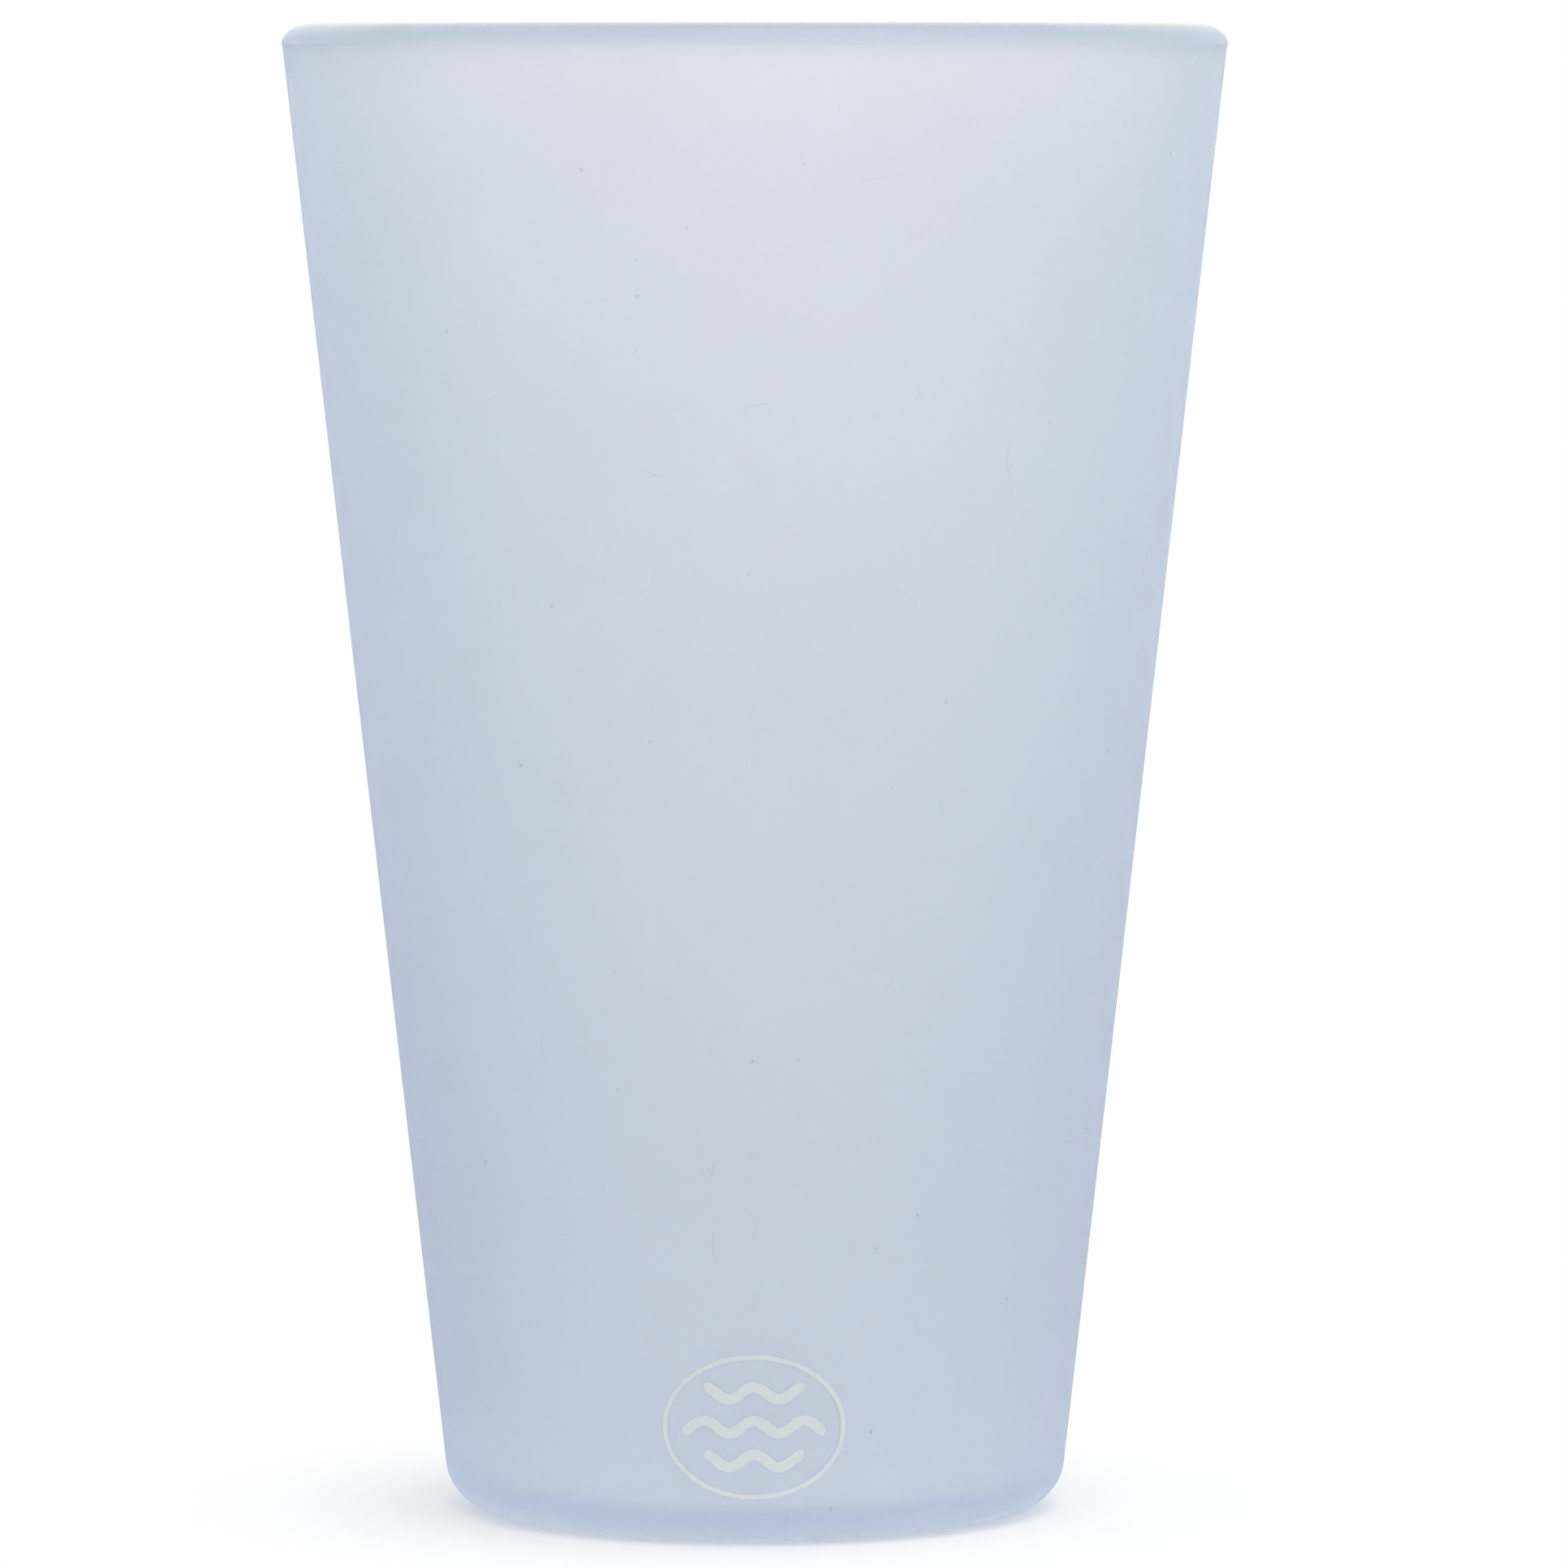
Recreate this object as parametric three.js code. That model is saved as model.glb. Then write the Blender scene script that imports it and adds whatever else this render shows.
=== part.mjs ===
// A one-pint drinking tumbler moulded in one piece from soft silicone, with a small mark printed
// on its front in silicone ink. Millimetres, +Z up. The origin is on the axis, at the table.
// The front of the tumbler, where the mark is, faces -Y.
import * as THREE from "three";
import { TessellateModifier } from "three/addons/modifiers/TessellateModifier.js";

// Tumbler
const RIM_DIAMETER = 88.9; // outside, across the parting line below the lip
const BASE_DIAMETER = 57.7; // outside, where the straight wall would meet the table
const HEIGHT = 140;
const WALL = 3.8; // square to the face
const FLOOR = 2.6; // over the hollow of the underside
const BASE_CORNER = 4.6; // radius between the wall and the foot
const FLOOR_CORNER = 4; // radius between the inner wall and the floor
const LIP_HEIGHT = 2; // from the parting line to the top of the lip
const LIP_INSIDE = 0.8; // radius on the drink side of the lip
const PARTING_STEP = 0.1; // how far the lip stands out over the wall where the mould halves meet
const FOOT_WIDTH = 6; // flat ring that stands on the table
const HOLLOW_DEPTH = 0.5; // shallow hollow inside the foot
const HOLLOW_SLOPE = 1.2; // run of the hollow's sloping edge

// Printed mark: an oval line with waves in it
const MARK_WIDTH = 17;
const MARK_HEIGHT = 13.6;
const MARK_RISE = 0.4; // between the rounded base and the oval
const OVAL_LINE = 0.45;
const WAVE_COUNT = 3;
const WAVE_LINE = 1;
const WAVE_SWING = 0.6; // from a wave's middle line to its crest
const WAVE_LENGTH = 4.6; // crest to crest
const WAVE_MARGIN = 1.3; // clear of the oval at both ends
const INK = 0.12; // thickness of the ink
const INK_GAP = 0.05; // keeps the ink off the wall's flat facets

// Finishes
const FROSTED_SILICONE = { color: 0xc6d0de, roughness: 0.55, metalness: 0 };
const SILICONE_INK = { color: 0xd2d9da, roughness: 0.7, metalness: 0 };

// Fineness of the facets
const TURN_FACETS = 96;
const ARC_FACETS = 6; // on each rounded edge
const OVAL_FACETS = 56;
const WAVE_FACETS = 28;
const END_FACETS = 6; // on the round end of a stroke
const INK_FACET = 1.5; // longest edge in the ink, so that it bends with the wall
const INK_SPLITS = 8; // times that an edge can be halved to get there
const SAME_POINT = 1e-6; // points of the section that are closer than this are one

// The wall is a cone: its outer face runs from the table up to the parting line.
const partingHeight = HEIGHT - LIP_HEIGHT;
const slope = (RIM_DIAMETER / 2 - PARTING_STEP - BASE_DIAMETER / 2) / partingHeight;
const tilt = Math.atan(slope);
const outerRadius = (z) => BASE_DIAMETER / 2 + slope * z;
const innerRadius = (z) => outerRadius(z) - WALL / Math.cos(tilt);

// One named sub-part with a material of its own.
function subPart(name, geometry, finish) {
  const mesh = new THREE.Mesh(geometry, new THREE.MeshStandardMaterial(finish));
  mesh.name = name;
  return mesh;
}

// Half of the tumbler's section, from the middle of the underside, out round the foot, up the wall,
// over the lip and down the inside to the middle of the floor.
function tumblerSection() {
  const footRadius = outerRadius(BASE_CORNER) - BASE_CORNER / Math.cos(tilt);
  const hollowRadius = footRadius - FOOT_WIDTH;
  const lipInsideHeight = HEIGHT - LIP_INSIDE;
  const lipMiddle = innerRadius(lipInsideHeight) + LIP_INSIDE / Math.cos(tilt);
  const lipWidth = RIM_DIAMETER / 2 - lipMiddle;
  const floorHeight = HOLLOW_DEPTH + FLOOR;
  const floorCornerHeight = floorHeight + FLOOR_CORNER;
  const floorRadius = innerRadius(floorCornerHeight) - FLOOR_CORNER / Math.cos(tilt);

  const section = new THREE.Path();
  section.moveTo(0, HOLLOW_DEPTH);
  section.lineTo(hollowRadius - HOLLOW_SLOPE, HOLLOW_DEPTH);
  section.lineTo(hollowRadius, 0);
  section.absarc(footRadius, BASE_CORNER, BASE_CORNER, -Math.PI / 2, -tilt, false);
  section.lineTo(outerRadius(partingHeight), partingHeight);
  section.absellipse(lipMiddle, partingHeight, lipWidth, LIP_HEIGHT, 0, Math.PI / 2, false);
  section.absarc(lipMiddle, lipInsideHeight, LIP_INSIDE, Math.PI / 2, Math.PI - tilt, false);
  section.absarc(floorRadius, floorCornerHeight, FLOOR_CORNER, -tilt, -Math.PI / 2, true);
  section.lineTo(0, floorHeight);

  const points = section.getPoints(ARC_FACETS / 2);
  return points.filter((p, i) => i === 0 || p.distanceTo(points[i - 1]) > SAME_POINT);
}

// The section turned about the lathe's Y axis, and stood up.
const tumbler = subPart(
  "tumbler",
  new THREE.LatheGeometry(tumblerSection(), TURN_FACETS),
  FROSTED_SILICONE,
);
tumbler.rotation.x = Math.PI / 2;

// The mark is on the straight wall, just over the rounded base.
const baseRoundTop = BASE_CORNER * (1 - Math.sin(tilt));
const markMiddle = baseRoundTop + MARK_RISE + MARK_HEIGHT / 2;
const ovalInsideWidth = MARK_WIDTH - 2 * OVAL_LINE;
const ovalInsideHeight = MARK_HEIGHT - 2 * OVAL_LINE;

// A flat drawing in ink, laid round the front of the wall: x runs round it and y up it from the
// middle of the mark.
function inkGeometry(shape) {
  const flat = new THREE.ExtrudeGeometry(shape, {
    depth: INK,
    bevelEnabled: false,
    curveSegments: OVAL_FACETS / 2,
  });
  const ink = new TessellateModifier(INK_FACET, INK_SPLITS).modify(flat);
  const position = ink.getAttribute("position");
  for (let i = 0; i < position.count; i++) {
    const wall = outerRadius(markMiddle + position.getY(i));
    const angle = position.getX(i) / wall;
    const radius = wall + INK_GAP + position.getZ(i);
    position.setXYZ(i, radius * Math.sin(angle), -radius * Math.cos(angle), position.getY(i));
  }
  ink.computeVertexNormals();
  return ink;
}

function ovalShape() {
  const oval = new THREE.Shape();
  oval.absellipse(0, 0, MARK_WIDTH / 2, MARK_HEIGHT / 2, 0, 2 * Math.PI, false);
  const inside = new THREE.Path();
  inside.absellipse(0, 0, ovalInsideWidth / 2, ovalInsideHeight / 2, 0, 2 * Math.PI, true);
  oval.holes.push(inside);
  return oval;
}

// A cosine wave drawn with a round-ended stroke, as long as the oval lets it be at its height.
function waveShape(middle) {
  const reach = Math.abs(middle) + WAVE_SWING + WAVE_LINE / 2;
  const room = (ovalInsideWidth / 2) * Math.sqrt(1 - (reach / (ovalInsideHeight / 2)) ** 2);
  const halfLength = room - WAVE_MARGIN - WAVE_LINE / 2;
  const turn = (2 * Math.PI) / WAVE_LENGTH;
  const heading = (x) => Math.atan(-WAVE_SWING * turn * Math.sin(turn * x));
  const strokeEdge = (x, direction) =>
    new THREE.Vector2(
      x + (WAVE_LINE / 2) * Math.cos(direction),
      middle + WAVE_SWING * Math.cos(turn * x) + (WAVE_LINE / 2) * Math.sin(direction),
    );
  const stations = (from, to) =>
    Array.from({ length: WAVE_FACETS + 1 }, (_, i) => from + ((to - from) * i) / WAVE_FACETS);
  const roundEnd = (x, start) =>
    Array.from({ length: END_FACETS - 1 }, (_, i) =>
      strokeEdge(x, heading(x) + start + (Math.PI * (i + 1)) / END_FACETS),
    );
  return new THREE.Shape([
    ...stations(-halfLength, halfLength).map((x) => strokeEdge(x, heading(x) - Math.PI / 2)),
    ...roundEnd(halfLength, -Math.PI / 2),
    ...stations(halfLength, -halfLength).map((x) => strokeEdge(x, heading(x) + Math.PI / 2)),
    ...roundEnd(-halfLength, Math.PI / 2),
  ]);
}

// The waves are spread evenly inside the oval, from the top down.
const printedMark = new THREE.Group();
printedMark.position.z = markMiddle;
printedMark.add(subPart("mark_oval", inkGeometry(ovalShape()), SILICONE_INK));
const wavePitch = ovalInsideHeight / (WAVE_COUNT + 1);
for (let i = 0; i < WAVE_COUNT; i++) {
  const middle = wavePitch * ((WAVE_COUNT - 1) / 2 - i);
  printedMark.add(subPart(`mark_wave_${i + 1}`, inkGeometry(waveShape(middle)), SILICONE_INK));
}

const pintTumbler = new THREE.Group();
pintTumbler.add(tumbler, printedMark);

export default pintTumbler;
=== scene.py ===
# %% [markdown]
# A pint tumbler moulded from soft, frosted silicone. The CAD model has its real sizes and stays as it
# is. Here the same tumbler gets the surface that the eye sees: a smooth wall that light passes
# through, a fine mould line under the lip, and a small print in matt ink.
# We start by loading the CAD model as a fixed frame, and keep its box.
# Blender works in metres, so small sizes are written as so many times MM.

# %% Load the frame
import math

import bmesh
import bpy
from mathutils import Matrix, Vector


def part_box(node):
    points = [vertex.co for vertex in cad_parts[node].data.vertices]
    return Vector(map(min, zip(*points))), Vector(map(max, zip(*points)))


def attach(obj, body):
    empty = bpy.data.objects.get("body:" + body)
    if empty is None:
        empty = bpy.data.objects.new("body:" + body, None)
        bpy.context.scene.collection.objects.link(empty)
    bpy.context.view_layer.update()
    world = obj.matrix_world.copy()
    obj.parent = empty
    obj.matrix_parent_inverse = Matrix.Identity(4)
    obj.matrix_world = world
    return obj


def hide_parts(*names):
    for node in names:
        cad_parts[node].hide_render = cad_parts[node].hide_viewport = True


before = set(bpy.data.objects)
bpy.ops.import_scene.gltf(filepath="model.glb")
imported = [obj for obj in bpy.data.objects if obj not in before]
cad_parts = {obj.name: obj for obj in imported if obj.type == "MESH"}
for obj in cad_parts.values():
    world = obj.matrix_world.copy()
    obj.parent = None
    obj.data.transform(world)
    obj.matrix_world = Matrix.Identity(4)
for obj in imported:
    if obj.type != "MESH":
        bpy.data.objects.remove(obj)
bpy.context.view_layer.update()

MM = 0.001

cad_low, cad_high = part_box("tumbler")
print("CAD nodes:", ", ".join(sorted(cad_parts)))
print("CAD box, mm:", [round(side / MM, 2) for side in cad_high - cad_low])

# %% [markdown]
# The tumbler is a body of revolution, so one half of its section says everything about its shape. The
# rim and the height come from the frame. The other sizes are the ones that the moulder would set, and
# they are the CAD model's own.

# %% Sizes of the tumbler
RIM_RADIUS = cad_high.x
HEIGHT = cad_high.z
BASE_RADIUS = 28.85 * MM
WALL = 3.8 * MM
FLOOR = 2.6 * MM
BASE_CORNER = 4.6 * MM
FLOOR_CORNER = 4.0 * MM
LIP_HEIGHT = 2.0 * MM
LIP_INSIDE = 0.8 * MM
PARTING_STEP = 0.1 * MM
FOOT_WIDTH = 6.0 * MM
HOLLOW_DEPTH = 0.5 * MM
HOLLOW_SLOPE = 1.2 * MM

parting_height = HEIGHT - LIP_HEIGHT
slope = (RIM_RADIUS - PARTING_STEP - BASE_RADIUS) / parting_height
tilt = math.atan(slope)


def outer_radius(z):
    return BASE_RADIUS + slope * z


def inner_radius(z):
    return outer_radius(z) - WALL / math.cos(tilt)


print("the wall leans out by", round(math.degrees(tilt), 2), "degrees")

# %% [markdown]
# The section is drawn as a chain of points from the middle of the underside, out round the foot, up
# the wall, over the lip and down the inside. Straight stretches get evenly spaced points, so that the
# faces of the wall come out nearly square, and rounded edges get points along an arc. A fillet tool
# could round the corners too, but the lip is an ellipse, wider than it is tall, and a formula draws
# that as easily as a circle.

# %% Draw the section
ARC_STEPS = 12
WALL_STEPS = 44
FLAT_STEPS = 8


def arc(centre, radii, start, end):
    """Points along an elliptical arc, with both ends."""
    turn = [start + (end - start) * i / ARC_STEPS for i in range(ARC_STEPS + 1)]
    return [(centre[0] + radii[0] * math.cos(a), centre[1] + radii[1] * math.sin(a)) for a in turn]


def straight(start, end, steps):
    """Points along a line, without its ends."""
    shares = [i / steps for i in range(1, steps)]
    return [(start[0] + (end[0] - start[0]) * s, start[1] + (end[1] - start[1]) * s) for s in shares]


foot_radius = outer_radius(BASE_CORNER) - BASE_CORNER / math.cos(tilt)
hollow_radius = foot_radius - FOOT_WIDTH
lip_inside_height = HEIGHT - LIP_INSIDE
lip_middle = inner_radius(lip_inside_height) + LIP_INSIDE / math.cos(tilt)
floor_height = HOLLOW_DEPTH + FLOOR
floor_corner_height = floor_height + FLOOR_CORNER
floor_radius = inner_radius(floor_corner_height) - FLOOR_CORNER / math.cos(tilt)

under_middle = (0.0, HOLLOW_DEPTH)
under_edge = (hollow_radius - HOLLOW_SLOPE, HOLLOW_DEPTH)
foot_edge = (hollow_radius, 0.0)
wall_top = (outer_radius(parting_height), parting_height)
floor_middle = (0.0, floor_height)
base_round = arc((foot_radius, BASE_CORNER), (BASE_CORNER, BASE_CORNER), -math.pi / 2, -tilt)
lip_round = arc((lip_middle, parting_height), (RIM_RADIUS - lip_middle, LIP_HEIGHT), 0, math.pi / 2)
lip_edge = arc((lip_middle, lip_inside_height), (LIP_INSIDE, LIP_INSIDE), math.pi / 2, math.pi - tilt)
floor_round = arc(
    (floor_radius, floor_corner_height), (FLOOR_CORNER, FLOOR_CORNER), -tilt, -math.pi / 2
)

section = [under_middle, *straight(under_middle, under_edge, FLAT_STEPS), under_edge, foot_edge]
section += straight(foot_edge, base_round[0], FLAT_STEPS) + base_round
section += straight(base_round[-1], wall_top, WALL_STEPS) + [wall_top] + lip_round + lip_edge[1:]
section += straight(lip_edge[-1], floor_round[0], WALL_STEPS) + floor_round
section += straight(floor_round[-1], floor_middle, FLAT_STEPS) + [floor_middle]
print("the section has", len(section), "points")

# %% [markdown]
# Most of what follows is built from nodes: finishes in shader trees, shapes in geometry trees. Node
# trees are long to write out, so a few helpers come first. They add a node, wire it, do one step of
# arithmetic, map one range of values to another, take a point apart, put one together and measure its
# distance. The same ones serve both kinds of tree.

# %% Helpers for any node tree
def add_node(tree, kind, **settings):
    node = tree.nodes.new(kind)
    for name, value in settings.items():
        setattr(node, name, value)
    return node


def plug(tree, socket, value):
    """Wires value to the socket if it is another node's output, and sets it otherwise."""
    if isinstance(value, bpy.types.NodeSocket):
        tree.links.new(value, socket)
    else:
        socket.default_value = value


def fill(tree, node, values):
    """Plugs values into the node's sockets in their order, and gives its first output."""
    for socket, value in zip(node.inputs, values):
        plug(tree, socket, value)
    return node.outputs[0]


def calc(tree, operation, *values):
    return fill(tree, add_node(tree, "ShaderNodeMath", operation=operation), values)


def rescale(tree, value, low, high, to_low, to_high, curve="LINEAR"):
    """Goes from to_low to to_high as value goes from low to high, and no further."""
    node = add_node(tree, "ShaderNodeMapRange", interpolation_type=curve)
    return fill(tree, node, (value, low, high, to_low, to_high))


def split(tree, point):
    node = add_node(tree, "ShaderNodeSeparateXYZ")
    plug(tree, node.inputs[0], point)
    return node.outputs


def join(tree, *values):
    return fill(tree, add_node(tree, "ShaderNodeCombineXYZ"), values)


def length(tree, vector):
    node = add_node(tree, "ShaderNodeVectorMath", operation="LENGTH")
    plug(tree, node.inputs[0], vector)
    return node.outputs["Value"]


helpers = (add_node, plug, fill, calc, rescale, split, join, length)
print("helpers:", ", ".join(helper.__name__ for helper in helpers))

# %% [markdown]
# Finishes need four helpers more. One starts an empty material, one makes a colour opaque, and one
# blends two colours. The last makes clouds, which is Blender's noise stretched so that it really runs
# from 0 to 1. A noise has no seams and no edges, so it suits a moulding that was never unwrapped.

# %% Helpers for finishes
NOISE_SPAN = (0.3, 0.7)


def material_tree(name):
    material = bpy.data.materials.new(name)
    material.use_nodes = True
    material.node_tree.nodes.clear()
    return material, material.node_tree


def rgba(colour):
    return (*colour, 1.0)


def blend(tree, share, colour_low, colour_high):
    node = add_node(tree, "ShaderNodeMix", data_type="RGBA")
    used = [socket for socket in node.inputs if socket.enabled]
    for socket, value in zip(used, (share, colour_low, colour_high)):
        plug(tree, socket, value)
    return next(socket for socket in node.outputs if socket.enabled)


def clouds(tree, place, size, detail=0):
    """Noise from 0 to 1 with lumps of about the given size, and finer ones for each step of detail."""
    node = add_node(tree, "ShaderNodeTexNoise")
    plug(tree, node.inputs["Vector"], place)
    plug(tree, node.inputs["Scale"], 1 / size)
    plug(tree, node.inputs["Detail"], detail)
    return rescale(tree, node.outputs[0], *NOISE_SPAN, 0, 1)


print("noise is stretched from", NOISE_SPAN)

# %% [markdown]
# Dust clings to silicone, so a handled tumbler has a few dark specks and short bent fibres on it. They
# could be painted on an image, but a pattern needs no image and can be read in the script. First the
# skin is unrolled to a flat sheet, as the label of a can is, so that a speck comes out round and a
# fibre lies along the wall.

# %% Unroll the skin
middle_radius = outer_radius(HEIGHT / 2)


def unrolled(tree, place):
    """The skin as a flat sheet: how far round from the front, and how far up the wall and then in."""
    point = split(tree, place)
    angle = calc(tree, "ARCTAN2", point["X"], calc(tree, "MULTIPLY", point["Y"], -1))
    radius = length(tree, join(tree, point["X"], point["Y"], 0.0))
    wall = calc(tree, "MULTIPLY_ADD", point["Z"], slope, BASE_RADIUS)
    along = calc(tree, "ADD", point["Z"], calc(tree, "SUBTRACT", wall, radius))
    return join(tree, calc(tree, "MULTIPLY", angle, middle_radius), along, 0.0)


print("the sheet is", round(math.tau * middle_radius / MM, 1), "mm round")

# %% [markdown]
# The sheet is then shared out into random cells. Each cell draws three lots: what lies at its middle,
# which way that points and how dark it is. Most cells stay clean. Scattered pieces of mesh would do
# for real crumbs, but these marks are too thin to have a shape.

# %% Marks of use
CELL_SIZE = 4.5 * MM
SPECK_SHARE = 0.25
SPECK_RADIUS = 0.2 * MM
SPECK_SHADE = 0.7
FIBRE_SHARE = 0.12
FIBRE_REACH = 1.8 * MM
FIBRE_BEND = 0.2 / MM
FIBRE_WIDTH = 0.1 * MM
FIBRE_SHADE = 0.3
DARK_RARITY = 1.5


def speck(tree, lot, distance):
    """A dot at the middle of a cell with a high lot. The distance from there is counted in cells."""
    radius = rescale(tree, lot, 1 - SPECK_SHARE, 1, 0, SPECK_RADIUS / CELL_SIZE)
    return calc(tree, "LESS_THAN", distance, radius)


def fibre(tree, lot, turn, from_middle):
    """A thin bent line through the middle of a cell with a low lot."""
    turned = add_node(tree, "ShaderNodeVectorRotate", rotation_type="Z_AXIS")
    plug(tree, turned.inputs["Vector"], from_middle)
    plug(tree, turned.inputs["Angle"], calc(tree, "MULTIPLY", turn, math.tau))
    point = split(tree, turned.outputs[0])
    sag = calc(tree, "MULTIPLY", calc(tree, "POWER", point["X"], 2), FIBRE_BEND)
    line = calc(tree, "COMPARE", point["Y"], sag, FIBRE_WIDTH / 2)
    reach = rescale(tree, lot, 0, FIBRE_SHARE, FIBRE_REACH, 0)
    within = calc(tree, "LESS_THAN", calc(tree, "ABSOLUTE", point["X"]), reach)
    return calc(tree, "MULTIPLY", line, within)


def marks_of_use(tree, sheet):
    cells = add_node(tree, "ShaderNodeTexVoronoi", voronoi_dimensions="2D")
    plug(tree, cells.inputs["Vector"], sheet)
    plug(tree, cells.inputs["Scale"], 1 / CELL_SIZE)
    lots = split(tree, cells.outputs["Color"])
    apart = add_node(tree, "ShaderNodeVectorMath", operation="SUBTRACT")
    from_middle = fill(tree, apart, (sheet, cells.outputs["Position"]))
    dot = calc(tree, "MULTIPLY", speck(tree, lots["X"], cells.outputs["Distance"]), SPECK_SHADE)
    line = calc(tree, "MULTIPLY", fibre(tree, lots["X"], lots["Y"], from_middle), FIBRE_SHADE)
    darkness = calc(tree, "POWER", lots["Z"], DARK_RARITY)
    return calc(tree, "MULTIPLY", calc(tree, "MAXIMUM", dot, line), darkness)


print("specks about", round(CELL_SIZE / math.sqrt(SPECK_SHARE) / MM, 1), "mm apart")

# %% [markdown]
# The frosted skin of the silicone is a milky white, a little cloudy, and its colour is set a shade
# deeper and bluer towards the foot, by height alone. The lip was moulded smoother. Its colour is
# painted shade: a deeper blue in place of the shade that the curved lip shows, more so towards its
# top. Its pale crest is a painted highlight, and a trace of the painted shade runs on below the mould
# line. A separate piece for the lip would have a seam that the moulding lacks, so the height decides
# instead.

# %% Colour of the silicone
CLOUD_DARK = (0.972, 0.969, 0.967)
CLOUD_PALE = (0.988, 0.985, 0.983)
# The colour turns a shade deeper and bluer towards the foot, set by height alone.
FOOT_COLOUR = (0.925, 0.931, 0.954)
FOOT_FULL = 30 * MM
# Painted shade: the lip's deeper blue stands in for the shade that the curved lip shows.
LIP_SHADE_COLOUR = (0.66, 0.71, 0.8)
LIP_SHADE_LOW_SHARE = 0.3
LIP_FULL = HEIGHT - 0.5 * MM
# Painted highlight: the crest keeps less of the lip's painted blue, so it comes out paler.
CREST_HIGHLIGHT_SHARE = 0.3
CREST_HIGHLIGHT_START = HEIGHT - 0.25 * MM
# Painted shade: a trace of the lip's deeper blue runs on below the mould line.
LIP_SHADE_TRACE = 0.1
LIP_SHADE_TRACE_END = parting_height - 2 * MM
MARK_COLOUR = (0.4, 0.44, 0.5)


def silicone_colour(tree, place, haze, height, on_lip):
    milk = blend(tree, haze, rgba(CLOUD_DARK), rgba(CLOUD_PALE))
    # Darker and bluer towards the foot, by height alone.
    body = blend(tree, rescale(tree, height, FOOT_FULL, HEIGHT, 1, 0), milk, rgba(FOOT_COLOUR))
    wall = blend(tree, marks_of_use(tree, unrolled(tree, place)), body, rgba(MARK_COLOUR))
    # Painted shade on the lip and just below the mould line, with a painted highlight on the lip's crest.
    trace_shade = rescale(tree, height, LIP_SHADE_TRACE_END, parting_height, 0, LIP_SHADE_TRACE)
    lip_shade_depth = rescale(tree, height, parting_height, LIP_FULL, LIP_SHADE_LOW_SHARE, 1)
    crest_highlight = rescale(tree, height, CREST_HIGHLIGHT_START, HEIGHT, 1, CREST_HIGHLIGHT_SHARE)
    lip = calc(tree, "MULTIPLY", calc(tree, "MULTIPLY", lip_shade_depth, crest_highlight), on_lip)
    return blend(tree, calc(tree, "MAXIMUM", trace_shade, lip), wall, rgba(LIP_SHADE_COLOUR))


print("the lip turns fully blue over", round((LIP_FULL - parting_height) / MM, 2), "mm")

# %% [markdown]
# The wall is frosted, a little more so where the clouds are pale. The lip is smoother, and it has a
# gloss that the wall lacks. Less roughness still would make the lip too clear, so the gloss is a coat
# over it, which shines most where it is seen at a low angle: along the crest and at the rim's sides.

# %% Roughness and gloss
WALL_ROUGHNESS = 0.525
ROUGHNESS_DRIFT = 0.05
LIP_ROUGHNESS = 0.32
LOW_GLOSS = 0.25
HIGH_GLOSS = 1.0
GLOSS_START = HEIGHT - 1.0 * MM


def silicone_roughness(tree, haze, height):
    even = rescale(tree, height, parting_height, LIP_FULL, WALL_ROUGHNESS, LIP_ROUGHNESS)
    return calc(tree, "MULTIPLY_ADD", haze, ROUGHNESS_DRIFT, even)


def lip_gloss(tree, height, on_lip):
    gloss = rescale(tree, height, GLOSS_START, HEIGHT, LOW_GLOSS, HIGH_GLOSS)
    return calc(tree, "MULTIPLY", gloss, on_lip)


print("the gloss rises over the top", round((HEIGHT - GLOSS_START) / MM, 2), "mm of the lip")

# %% [markdown]
# Frosted silicone lets light through but blurs what is behind it, and it is a little milky. In Cycles
# that is the Principled shader with most of its weight in rough transmission and the rest in plain
# white. Subsurface scattering would be the other way, but it is slower and loses the blue. Inside, a
# volume absorbs red light more than blue, so the thick places, at the sides and in the base, turn
# bluer by themselves.

# %% Frosted silicone
SILICONE_IOR = 1.41
CLEARNESS = 0.7
CLOUD_SIZE = 16 * MM
CLOUD_DETAIL = 1
GRAIN_SIZE = 0.4 * MM
GRAIN_DEPTH = 0.01 * MM
GLOSS_ROUGHNESS = 0.15
TINT = (0.165, 0.58, 0.99)
TINT_DENSITY = 30


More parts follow.
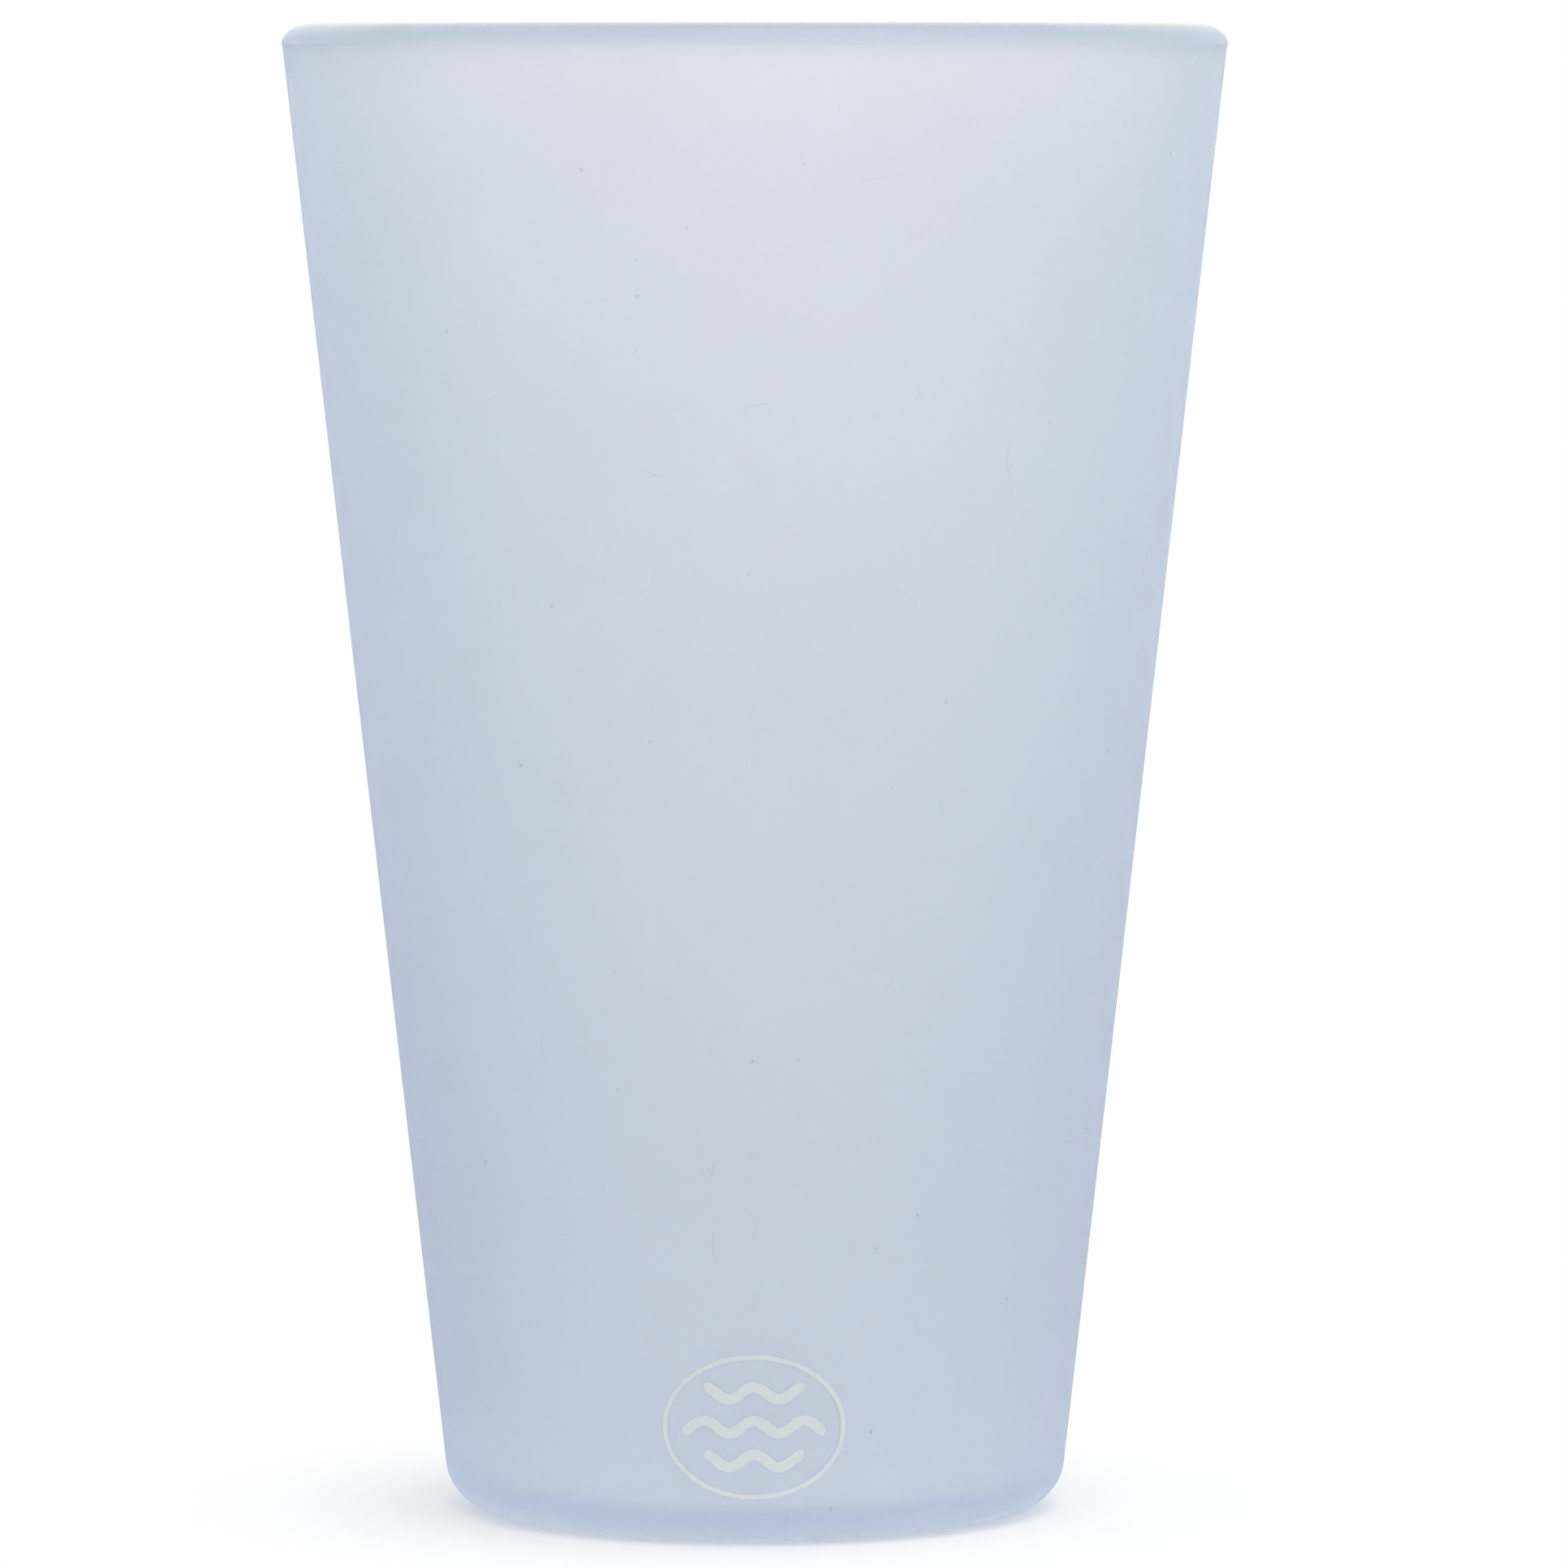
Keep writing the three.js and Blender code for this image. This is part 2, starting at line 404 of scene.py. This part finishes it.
def frosted_silicone():
    material, tree = material_tree("frosted_silicone")
    place = add_node(tree, "ShaderNodeTexCoord").outputs["Object"]
    height = split(tree, place)["Z"]
    on_lip = calc(tree, "GREATER_THAN", height, parting_height)
    haze = clouds(tree, place, CLOUD_SIZE, CLOUD_DETAIL)
    grain = add_node(tree, "ShaderNodeBump")
    plug(tree, grain.inputs["Height"], clouds(tree, place, GRAIN_SIZE))
    plug(tree, grain.inputs["Distance"], GRAIN_DEPTH)
    plug(tree, grain.inputs["Strength"], calc(tree, "SUBTRACT", 1, on_lip))
    shader = add_node(tree, "ShaderNodeBsdfPrincipled")
    plug(tree, shader.inputs["Base Color"], silicone_colour(tree, place, haze, height, on_lip))
    plug(tree, shader.inputs["Roughness"], silicone_roughness(tree, haze, height))
    plug(tree, shader.inputs["Normal"], grain.outputs[0])
    plug(tree, shader.inputs["IOR"], SILICONE_IOR)
    plug(tree, shader.inputs["Transmission Weight"], CLEARNESS)
    plug(tree, shader.inputs["Coat Weight"], lip_gloss(tree, height, on_lip))
    plug(tree, shader.inputs["Coat Roughness"], GLOSS_ROUGHNESS)
    plug(tree, shader.inputs["Coat IOR"], SILICONE_IOR)
    inside = add_node(tree, "ShaderNodeVolumeAbsorption")
    plug(tree, inside.inputs["Color"], rgba(TINT))
    plug(tree, inside.inputs["Density"], TINT_DENSITY)
    out = add_node(tree, "ShaderNodeOutputMaterial")
    plug(tree, out.inputs["Surface"], shader.outputs[0])
    plug(tree, out.inputs["Volume"], inside.outputs[0])
    return material


silicone = frosted_silicone()
print("made", silicone.name, "with", len(silicone.node_tree.nodes), "nodes")

# %% [markdown]
# Shapes that follow a rule are grown by geometry trees. Each tree has named inputs for its sizes, so
# that one tree can make many pieces, and each ends alike. Points that share a place are merged, since
# a moulding or a drop of ink has no gap in its skin.

# %% Helpers for geometry trees
SAME_PLACE = 0.0005 * MM


def new_geometry_tree(name, inputs):
    """A tree with a geometry input and output, and one named input for each size."""
    tree = bpy.data.node_groups.new(name, "GeometryNodeTree")
    tree.interface.new_socket("Geometry", in_out="INPUT", socket_type="NodeSocketGeometry")
    for label, kind in inputs.items():
        tree.interface.new_socket(label, in_out="INPUT", socket_type=f"NodeSocket{kind}")
    tree.interface.new_socket("Geometry", in_out="OUTPUT", socket_type="NodeSocketGeometry")
    return tree, add_node(tree, "NodeGroupInput").outputs


def end_tree(tree, geometry, material):
    """Every tree ends alike: one smooth closed skin, instances made real, then the material."""
    merge = add_node(tree, "GeometryNodeMergeByDistance")
    plug(tree, merge.inputs["Geometry"], geometry)
    plug(tree, merge.inputs["Distance"], SAME_PLACE)
    smooth = add_node(tree, "GeometryNodeSetShadeSmooth")
    plug(tree, smooth.inputs["Geometry"], merge.outputs[0])
    real = add_node(tree, "GeometryNodeRealizeInstances")
    plug(tree, real.inputs["Geometry"], smooth.outputs[0])
    finish = add_node(tree, "GeometryNodeSetMaterial")
    plug(tree, finish.inputs["Geometry"], real.outputs[0])
    plug(tree, finish.inputs["Material"], material)
    plug(tree, add_node(tree, "NodeGroupOutput").inputs[0], finish.outputs[0])


print("points closer than", round(SAME_PLACE / MM, 5), "mm are one")

# %% [markdown]
# A geometry tree needs an object to start from and something to keep its result in. We start from a
# chain of points, run the tree on it, and keep the result as a plain mesh, so that no modifier is left
# on the object. A modifier's inputs are set by their identifiers, because names can be changed in the
# interface and identifiers can't.

# %% Helpers that run a tree
ML = (10 * MM) ** 3
CREASE_ANGLE = math.radians(35)


def chain_object(name, points, closed=False):
    """An object that holds a chain of points joined by edges, in the XZ plane."""
    mesh = bpy.data.meshes.new(name)
    edges = [(i, i + 1) for i in range(len(points) - 1)]
    if closed:
        edges.append((len(points) - 1, 0))
    mesh.from_pydata([(x, 0.0, z) for x, z in points], edges, [])
    obj = bpy.data.objects.new(name, mesh)
    bpy.context.scene.collection.objects.link(obj)
    return obj


def close_skin(mesh):
    """Merges doubles, turns the faces outwards, and tells what is still open and the volume in ml."""
    shape = bmesh.new()
    shape.from_mesh(mesh)
    bmesh.ops.remove_doubles(shape, verts=shape.verts, dist=SAME_PLACE)
    bmesh.ops.recalc_face_normals(shape, faces=shape.faces)
    open_edges = sum(not edge.is_manifold for edge in shape.edges)
    volume = shape.calc_volume(signed=True) / ML
    shape.to_mesh(mesh)
    shape.free()
    mesh.set_sharp_from_angle(angle=CREASE_ANGLE)
    return open_edges, volume


def grow(obj, tree, values):
    """Runs the tree on obj and leaves its result as obj's own closed mesh."""
    modifier = obj.modifiers.new(tree.name, "NODES")
    modifier.node_group = tree
    for item in tree.interface.items_tree:
        if item.in_out == "INPUT" and item.name in values:
            modifier[item.identifier] = values[item.name]
    grown = obj.evaluated_get(bpy.context.evaluated_depsgraph_get())
    mesh = bpy.data.meshes.new_from_object(grown)
    obj.modifiers.remove(modifier)
    obj.data = mesh
    open_edges, volume = close_skin(mesh)
    print(f"{obj.name}: {len(mesh.polygons)} faces, {open_edges} open edges, {volume:.4f} ml")


print("edges over", round(math.degrees(CREASE_ANGLE)), "degrees stay sharp")

# %% [markdown]
# The section is now turned about the axis. A Screw modifier could do it, but a tree shows every step: a
# grid has one column for each point of the section and one row for each step of the turn. Each of its
# points looks up its place on the section and is carried round by its angle. The first and last rows
# meet, and the ends of the section collapse onto the axis, so merging points that share a place closes
# the skin.

# %% A tree that turns a section
def lathe_tree():
    tree, sizes = new_geometry_tree("Turn a section", {"Steps": "Int", "Material": "Material"})
    count = add_node(tree, "GeometryNodeAttributeDomainSize")
    plug(tree, count.inputs[0], sizes["Geometry"])
    row = calc(tree, "ADD", sizes["Steps"], 1)
    grid = add_node(tree, "GeometryNodeMeshGrid")
    plug(tree, grid.inputs["Vertices X"], count.outputs["Point Count"])
    plug(tree, grid.inputs["Vertices Y"], row)
    index = add_node(tree, "GeometryNodeInputIndex").outputs[0]
    station = calc(tree, "FLOOR", calc(tree, "DIVIDE", index, row))
    step = calc(tree, "MODULO", index, row)
    angle = calc(tree, "MULTIPLY", calc(tree, "DIVIDE", step, sizes["Steps"]), math.tau)
    look_up = add_node(tree, "GeometryNodeSampleIndex", data_type="FLOAT_VECTOR")
    plug(tree, look_up.inputs["Geometry"], sizes["Geometry"])
    plug(tree, look_up.inputs["Value"], add_node(tree, "GeometryNodeInputPosition").outputs[0])
    plug(tree, look_up.inputs["Index"], station)
    point = split(tree, look_up.outputs[0])
    across = calc(tree, "MULTIPLY", point["X"], calc(tree, "COSINE", angle))
    back = calc(tree, "MULTIPLY", point["X"], calc(tree, "SINE", angle))
    wrap = add_node(tree, "GeometryNodeSetPosition")
    plug(tree, wrap.inputs["Geometry"], grid.outputs[0])
    plug(tree, wrap.inputs["Position"], join(tree, across, back, point["Z"]))
    end_tree(tree, wrap.outputs[0], sizes["Material"])
    return tree


turn_section = lathe_tree()
print("made the tree:", turn_section.name)

# %% [markdown]
# Running the tree on our section makes the moulding in one piece, as the real one is. All of it is
# smooth apart from a few sharp rings, such as the mould line under the lip, where the angle between
# faces is too large to be part of a curve.

# %% Turn the tumbler
TURN_STEPS = 256

tumbler = chain_object("silicone_tumbler", section)
grow(tumbler, turn_section, {"Steps": TURN_STEPS, "Material": silicone})
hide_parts("tumbler")
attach(tumbler, "root")

# %% [markdown]
# The print is matt ink, opaque and a little lighter than the silicone round it. Ink that was pressed on
# from a pad is never quite even, so its colour and its roughness both follow some fine clouds.

# %% Silicone ink
INK_DARK = (0.68, 0.73, 0.75)
INK_PALE = (0.71, 0.76, 0.78)
INK_SMOOTH = 0.6
INK_ROUGH = 0.75
INK_MOTTLE = 0.9 * MM
INK_DETAIL = 3


def silicone_ink():
    material, tree = material_tree("silicone_ink")
    place = add_node(tree, "ShaderNodeTexCoord").outputs["Object"]
    mottle = clouds(tree, place, INK_MOTTLE, INK_DETAIL)
    shader = add_node(tree, "ShaderNodeBsdfPrincipled")
    plug(tree, shader.inputs["Base Color"], blend(tree, mottle, rgba(INK_DARK), rgba(INK_PALE)))
    plug(tree, shader.inputs["Roughness"], rescale(tree, mottle, 0, 1, INK_SMOOTH, INK_ROUGH))
    out = add_node(tree, "ShaderNodeOutputMaterial")
    plug(tree, out.inputs["Surface"], shader.outputs[0])
    return material


ink = silicone_ink()
print("made", ink.name, "with", len(ink.node_tree.nodes), "nodes")

# %% [markdown]
# Each line of the print follows a path on the wall. We draw the path flat and sweep a round section
# along it, narrower towards the ends so that they come out round. Then we press it flat to the
# thickness of ink and bend the whole round the cone of the wall. A texture could show the same lines,
# but then the ink would have no edge to catch the light. Two helpers say how wide the line is and
# where each of its points goes.

# %% How ink lies on the wall
MARK_HEIGHT = 13.6 * MM
MARK_RISE = 0.4 * MM
INK_GAP = 0.05 * MM
INK_FLATNESS = 3

base_round_top = BASE_CORNER * (1 - math.sin(tilt))
mark_middle = base_round_top + MARK_RISE + MARK_HEIGHT / 2


def end_width(tree, half):
    """Full width along the line, and a round fall to nothing at its ends."""
    along = add_node(tree, "GeometryNodeSplineParameter").outputs["Length"]
    whole = add_node(tree, "GeometryNodeSplineLength").outputs["Length"]
    to_end = calc(tree, "MINIMUM", along, calc(tree, "SUBTRACT", whole, along))
    short = calc(tree, "SUBTRACT", 1, calc(tree, "MINIMUM", calc(tree, "DIVIDE", to_end, half), 1))
    return calc(tree, "SQRT", calc(tree, "SUBTRACT", 1, calc(tree, "MULTIPLY", short, short)))


def on_cone(tree, point, half, thickness):
    """Carries a point of the swept line from the flat drawing to its place on the wall."""
    height = calc(tree, "ADD", point["Z"], mark_middle)
    wall = calc(tree, "MULTIPLY_ADD", height, slope, BASE_RADIUS)
    angle = calc(tree, "DIVIDE", point["X"], wall)
    edge = calc(tree, "DIVIDE", half, INK_FLATNESS)
    lift = rescale(tree, point["Y"], calc(tree, "MULTIPLY", edge, -1), edge, 0, thickness)
    radius = calc(tree, "ADD", wall, calc(tree, "ADD", lift, INK_GAP))
    across = calc(tree, "MULTIPLY", radius, calc(tree, "SINE", angle))
    ahead = calc(tree, "MULTIPLY", radius, calc(tree, "COSINE", angle))
    return join(tree, across, calc(tree, "MULTIPLY", ahead, -1), height)


print("the print's middle is", round(mark_middle / MM, 2), "mm up the wall")

# %% [markdown]
# The tree itself turns the chain of points into a curve, sweeps a ring along it, and moves every point
# of the sweep to its place. A closed line has no ends, so rounding them is an input of its own.

# %% A tree that prints a line on the wall
RING_POINTS = 12


def ink_tree():
    inputs = {"Line": "Float", "Thickness": "Float", "Round Ends": "Float", "Material": "Material"}
    tree, sizes = new_geometry_tree("Print a line on the wall", inputs)
    half = calc(tree, "DIVIDE", sizes["Line"], 2)
    path = add_node(tree, "GeometryNodeMeshToCurve")
    plug(tree, path.inputs[0], sizes["Geometry"])
    ring = add_node(tree, "GeometryNodeCurvePrimitiveCircle")
    plug(tree, ring.inputs["Resolution"], RING_POINTS)
    plug(tree, ring.inputs["Radius"], half)
    sweep = add_node(tree, "GeometryNodeCurveToMesh")
    plug(tree, sweep.inputs["Curve"], path.outputs[0])
    plug(tree, sweep.inputs["Profile Curve"], ring.outputs[0])
    plain = calc(tree, "SUBTRACT", 1, sizes["Round Ends"])
    plug(tree, sweep.inputs["Scale"], calc(tree, "MAXIMUM", end_width(tree, half), plain))
    plug(tree, sweep.inputs["Fill Caps"], True)
    point = split(tree, add_node(tree, "GeometryNodeInputPosition").outputs[0])
    bend = add_node(tree, "GeometryNodeSetPosition")
    plug(tree, bend.inputs["Geometry"], sweep.outputs[0])
    plug(tree, bend.inputs["Position"], on_cone(tree, point, half, sizes["Thickness"]))
    end_tree(tree, bend.outputs[0], sizes["Material"])
    return tree


print_line = ink_tree()
print("made the tree:", print_line.name)

# %% [markdown]
# The print itself is a plain one, an oval line with three waves in it. Each wave is as long as the oval
# leaves room for at its height, so the oval's own formula gives its length. Every island of ink is a
# piece of its own, as it is in the CAD model.

# %% Print the mark
MARK_WIDTH = 17.0 * MM
OVAL_LINE = 0.45 * MM
OVAL_STEPS = 160
WAVE_COUNT = 3
WAVE_LINE = 1.0 * MM
WAVE_SWING = 0.6 * MM
WAVE_LENGTH = 4.6 * MM
WAVE_MARGIN = 1.3 * MM
WAVE_STEPS = 160
INK = 0.12 * MM

inside_width = MARK_WIDTH - 2 * OVAL_LINE
inside_height = MARK_HEIGHT - 2 * OVAL_LINE


def print_on_wall(name, points, closed, line, node):
    obj = chain_object(name, points, closed)
    ends = 0.0 if closed else 1.0
    grow(obj, print_line, {"Line": line, "Thickness": INK, "Round Ends": ends, "Material": ink})
    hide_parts(node)
    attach(obj, "root")


turns = [math.tau * i / OVAL_STEPS for i in range(OVAL_STEPS)]
oval_radii = ((MARK_WIDTH - OVAL_LINE) / 2, (MARK_HEIGHT - OVAL_LINE) / 2)
oval = [(oval_radii[0] * math.cos(a), oval_radii[1] * math.sin(a)) for a in turns]
print_on_wall("print_oval", oval, True, OVAL_LINE, "mark_oval")

wave_pitch = inside_height / (WAVE_COUNT + 1)
for i in range(WAVE_COUNT):
    middle = wave_pitch * ((WAVE_COUNT - 1) / 2 - i)
    reach = abs(middle) + WAVE_SWING + WAVE_LINE / 2
    room = inside_width / 2 * math.sqrt(1 - (reach / (inside_height / 2)) ** 2)
    half_length = room - WAVE_MARGIN
    stations = [half_length * (2 * k / WAVE_STEPS - 1) for k in range(WAVE_STEPS + 1)]
    wave = [(x, middle + WAVE_SWING * math.cos(math.tau * x / WAVE_LENGTH)) for x in stations]
    print_on_wall(f"print_wave_{i + 1}", wave, False, WAVE_LINE, f"mark_wave_{i + 1}")

# %% [markdown]
# The tumbler stands on white. The floor is a sheet of paper that keeps the tumbler's soft shadow near its
# foot, and for the camera it fades to plain white further away, so that no horizon shows. To every
# other ray it is a lit sheet, a little dimmer than the sky and brightest under the foot, and that is
# what the silicone shows. It lies a hair below the foot, so that the two don't share a plane.

# %% Floor
SHEET_RADIUS = 500 * MM
SHEET_FACETS = 96
SHEET_DROP = 0.02 * MM
SHEET_GLOW = 0.8
NEAR_GLOW = 1.0
NEAR_START = 28 * MM
NEAR_END = 50 * MM
PAPER_COLOUR = (0.97, 0.97, 0.97)
FADE_START = 20 * MM
FADE_END = 60 * MM


def pale_floor():
    material, tree = material_tree("pale_floor")
    camera_ray = add_node(tree, "ShaderNodeLightPath").outputs["Is Camera Ray"]
    distance = length(tree, add_node(tree, "ShaderNodeTexCoord").outputs["Object"])
    glow = rescale(tree, distance, NEAR_START, NEAR_END, NEAR_GLOW, SHEET_GLOW)
    sheet = add_node(tree, "ShaderNodeEmission")
    plug(tree, sheet.inputs["Strength"], rescale(tree, camera_ray, 0, 1, glow, 1))
    paper = add_node(tree, "ShaderNodeBsdfDiffuse")
    plug(tree, paper.inputs["Color"], rgba(PAPER_COLOUR))
    on_paper = rescale(tree, distance, FADE_START, FADE_END, camera_ray, 0, "SMOOTHSTEP")
    mix = add_node(tree, "ShaderNodeMixShader")
    out = add_node(tree, "ShaderNodeOutputMaterial")
    plug(tree, out.inputs["Surface"], fill(tree, mix, (on_paper, sheet.outputs[0], paper.outputs[0])))
    return material


floor_mesh = bpy.data.meshes.new("studio_floor")
disc = bmesh.new()
bmesh.ops.create_circle(disc, cap_ends=True, segments=SHEET_FACETS, radius=SHEET_RADIUS)
disc.to_mesh(floor_mesh)
disc.free()
floor_mesh.materials.append(pale_floor())
floor = bpy.data.objects.new("studio_floor", floor_mesh)
floor.location.z = -SHEET_DROP
bpy.context.scene.collection.objects.link(floor)
print("the floor is", 2 * SHEET_RADIUS, "m across, and its shadow ends", FADE_END, "m from the axis")

# %% [markdown]
# Soft light comes from all round, from a world that is brighter above than below and a little brighter
# on the right. A ring of lamps could give the same, but two ramps of brightness are simpler to set. To
# the camera, and to anything seen in or through the silicone, the world is plain white.

# %% Light from all round
WHITE = (1.0, 1.0, 1.0)
LEFT_LIGHT = 0.735
RIGHT_LIGHT = 0.995
LOW_LIGHT = 0.75
HIGH_LIGHT = 1.265

world = bpy.data.worlds.new("white_studio")
bpy.context.scene.world = world
world.use_nodes = True
sky = world.node_tree
sky.nodes.clear()
direction = split(sky, add_node(sky, "ShaderNodeTexCoord").outputs["Generated"])
sideways = rescale(sky, direction["X"], -1, 1, LEFT_LIGHT, RIGHT_LIGHT)
upwards = rescale(sky, direction["Z"], -1, 1, LOW_LIGHT, HIGH_LIGHT)
light = calc(sky, "MULTIPLY", sideways, upwards)
ray = add_node(sky, "ShaderNodeLightPath").outputs
through = calc(sky, "MAXIMUM", ray["Is Glossy Ray"], ray["Is Transmission Ray"])
seen = calc(sky, "MAXIMUM", ray["Is Camera Ray"], through)
backdrop = add_node(sky, "ShaderNodeBackground")
plug(sky, backdrop.inputs["Color"], rgba(WHITE))
plug(sky, backdrop.inputs["Strength"], rescale(sky, seen, 0, 1, light, 1))
plug(sky, add_node(sky, "ShaderNodeOutputWorld").inputs["Surface"], backdrop.outputs[0])
print("made the world:", world.name)

# %% [markdown]
# A wide lamp overhead gives the shadow a hint of direction. It is a disc much wider than the tumbler, so
# the shadow has no hard edge.

# %% Overhead lamp
LAMP_POWER = 6
LAMP_SIZE = 1.5
LAMP_PLACE = Vector((0.3, -0.3, 2.0))

lamp = bpy.data.lights.new("overhead_softbox", "AREA")
lamp.shape = "DISK"
lamp.size = LAMP_SIZE
lamp.energy = LAMP_POWER
softbox = bpy.data.objects.new("overhead_softbox", lamp)
aim = Vector((0, 0, HEIGHT / 2)) - LAMP_PLACE
softbox.location = LAMP_PLACE
softbox.rotation_euler = aim.to_track_quat("-Z", "Y").to_euler()
bpy.context.scene.collection.objects.link(softbox)
print("the lamp is", round(aim.length, 2), "m from the tumbler's middle")

# %% [markdown]
# The photograph was taken from about the height of the rim with a long lens, so the sides hardly
# converge. The camera's place and lens come from fitting the tumbler's outline.

# %% Camera
SENSOR = 36
LENS = 229
CAMERA_PLACE = Vector((2.75, -940, 136)) * MM
CAMERA_DIP = math.radians(4.114)

camera = bpy.data.objects.new("camera", bpy.data.cameras.new("camera"))
camera.data.sensor_width = SENSOR
camera.data.lens = LENS
camera.location = CAMERA_PLACE
camera.rotation_euler = (math.pi / 2 - CAMERA_DIP, 0, 0)
bpy.context.scene.collection.objects.link(camera)
bpy.context.scene.camera = camera
print("the camera is", round(CAMERA_PLACE.length, 2), "m away")

# %% [markdown]
# Last, the view transform that shows colours as they are.

# %% Finish
bpy.context.scene.view_settings.view_transform = "Standard"
